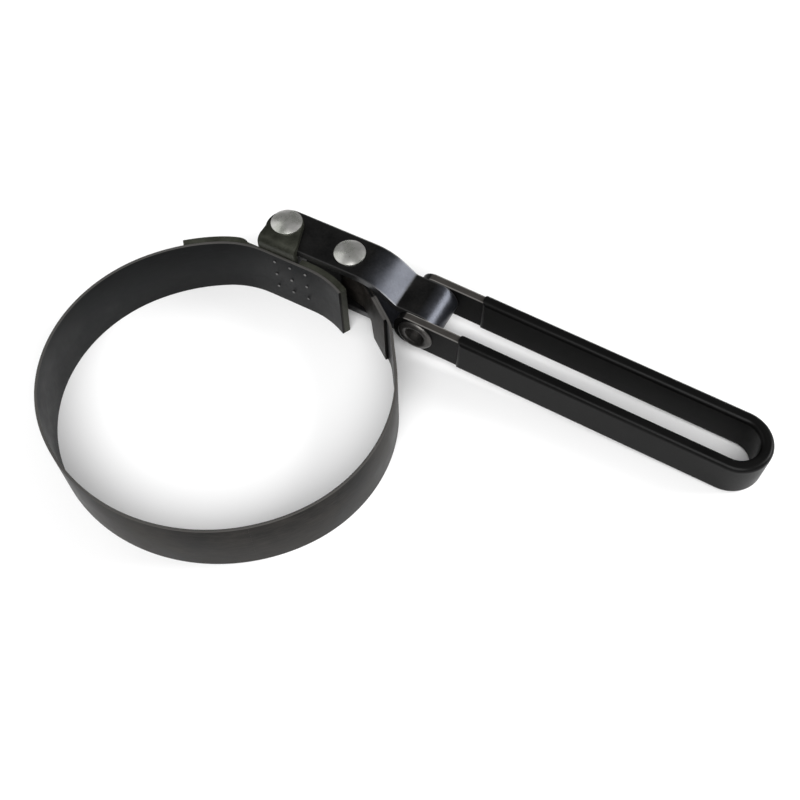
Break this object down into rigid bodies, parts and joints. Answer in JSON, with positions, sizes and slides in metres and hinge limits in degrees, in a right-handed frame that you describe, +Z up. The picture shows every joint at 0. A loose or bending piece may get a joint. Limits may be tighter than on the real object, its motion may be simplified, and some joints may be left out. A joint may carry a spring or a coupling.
{
  "type": "oil filter wrench",
  "caption": "Steel band wrench for oil filters: a loop drawn tight by a pivoting lever, with a swivelling loop handle in a black sleeve grip.",
  "frame": {"origin": "middle of the band loop, on the plane of its lower rim", "axes": "+Z up along the filter's axis; +X along the lever and handle, away from the pivot rivet"},
  "size_m": [0.21, 0.1193, 0.0287],
  "materials": {
    "band_steel": "dark blued spring steel",
    "shoe_steel": "dark blued steel",
    "weld_steel": "bare spot weld",
    "lever_steel": "dark blued steel, worn on the bends",
    "rivet_steel": "bright zinc plate",
    "sleeve_steel": "plain steel",
    "handle_steel": "black",
    "hollow_rivet_steel": "dark steel, bright on its rim",
    "grip_plastic": "black vinyl dip"
  },
  "bodies": {
    "shoe_body": {"shoe": "shoe_steel", "band_shoe_end": "band_steel", "shoe_welds": "weld_steel", "pivot_rivet": "rivet_steel", "pivot_spacer": "sleeve_steel"},
    "lever_body": {"lever": "lever_steel", "band_rivet": "rivet_steel"},
    "handle_body": {"handle_frame": "handle_steel", "grip": "grip_plastic", "handle_rivet": "hollow_rivet_steel"},
    "band_body_1": {"band_segment_1": "band_steel"},
    "band_body_2": {"band_segment_2": "band_steel"},
    "band_body_3": {"band_segment_3": "band_steel"},
    "band_body_4": {"band_segment_4": "band_steel"},
    "band_body_5": {"band_segment_5": "band_steel"},
    "band_body_6": {"band_segment_6": "band_steel"},
    "band_body_7": {"band_segment_7": "band_steel"},
    "band_body_8": {"band_segment_8": "band_steel"},
    "tail_body": {"band_tail": "band_steel"}
  },
  "joints": [
    {"name": "lever_pivot", "type": "hinge", "parent": "shoe_body", "child": "lever_body", "pos_m": [-0.0096, 0.05698, 0.015], "axis": [0, 0, 1], "range_deg": [0, 40]},
    {"name": "handle_swivel", "type": "hinge", "parent": "lever_body", "child": "handle_body", "pos_m": [0.0422, 0.05698, 0.0116], "axis": [0, 1, 0], "range_deg": [-90, 90]},
    {"name": "band_flex_1", "type": "hinge", "parent": "shoe_body", "child": "band_body_1", "pos_m": [-0.04544, 0.02651, 0.0111], "axis": [0, 0, 1], "range_deg": [-0.5, 4.82]},
    {"name": "band_flex_2", "type": "hinge", "parent": "band_body_1", "child": "band_body_2", "pos_m": [-0.05395, 0.00312, 0.0111], "axis": [0, 0, 1], "range_deg": [-0.5, 4.1]},
    {"name": "band_flex_3", "type": "hinge", "parent": "band_body_2", "child": "band_body_3", "pos_m": [-0.04963, -0.02139, 0.0111], "axis": [0, 0, 1], "range_deg": [-0.5, 3.1]},
    {"name": "band_flex_4", "type": "hinge", "parent": "band_body_3", "child": "band_body_4", "pos_m": [-0.03363, -0.04045, 0.0111], "axis": [0, 0, 1], "range_deg": [-0.5, 1.78]},
    {"name": "band_flex_5", "type": "hinge", "parent": "band_body_4", "child": "band_body_5", "pos_m": [-0.00602, -0.0505, 0.0111], "axis": [0, 0, 1], "range_deg": [-0.74, 0.5]},
    {"name": "band_flex_6", "type": "hinge", "parent": "band_body_5", "child": "band_body_6", "pos_m": [0.02293, -0.0454, 0.0111], "axis": [0, 0, 1], "range_deg": [-1.86, 0.5]},
    {"name": "band_flex_7", "type": "hinge", "parent": "band_body_6", "child": "band_body_7", "pos_m": [0.04544, -0.02651, 0.0111], "axis": [0, 0, 1], "range_deg": [-2.22, 0.5]},
    {"name": "band_flex_8", "type": "hinge", "parent": "band_body_7", "child": "band_body_8", "pos_m": [0.05395, -0.00312, 0.0111], "axis": [0, 0, 1], "range_deg": [-1.98, 0.5]},
    {"name": "tail_flex", "type": "hinge", "parent": "band_body_8", "child": "tail_body", "pos_m": [0.04963, 0.02139, 0.0111], "axis": [0, 0, 1], "range_deg": [-1.62, 0.5]}
  ],
  "couplings": [
    {"joint": "band_flex_1", "follows": "lever_pivot", "ratio": 0.108},
    {"joint": "band_flex_2", "follows": "lever_pivot", "ratio": 0.09},
    {"joint": "band_flex_3", "follows": "lever_pivot", "ratio": 0.065},
    {"joint": "band_flex_4", "follows": "lever_pivot", "ratio": 0.032},
    {"joint": "band_flex_5", "follows": "lever_pivot", "ratio": -0.006},
    {"joint": "band_flex_6", "follows": "lever_pivot", "ratio": -0.034},
    {"joint": "band_flex_7", "follows": "lever_pivot", "ratio": -0.043},
    {"joint": "band_flex_8", "follows": "lever_pivot", "ratio": -0.037},
    {"joint": "tail_flex", "follows": "lever_pivot", "ratio": -0.028}
  ]
}
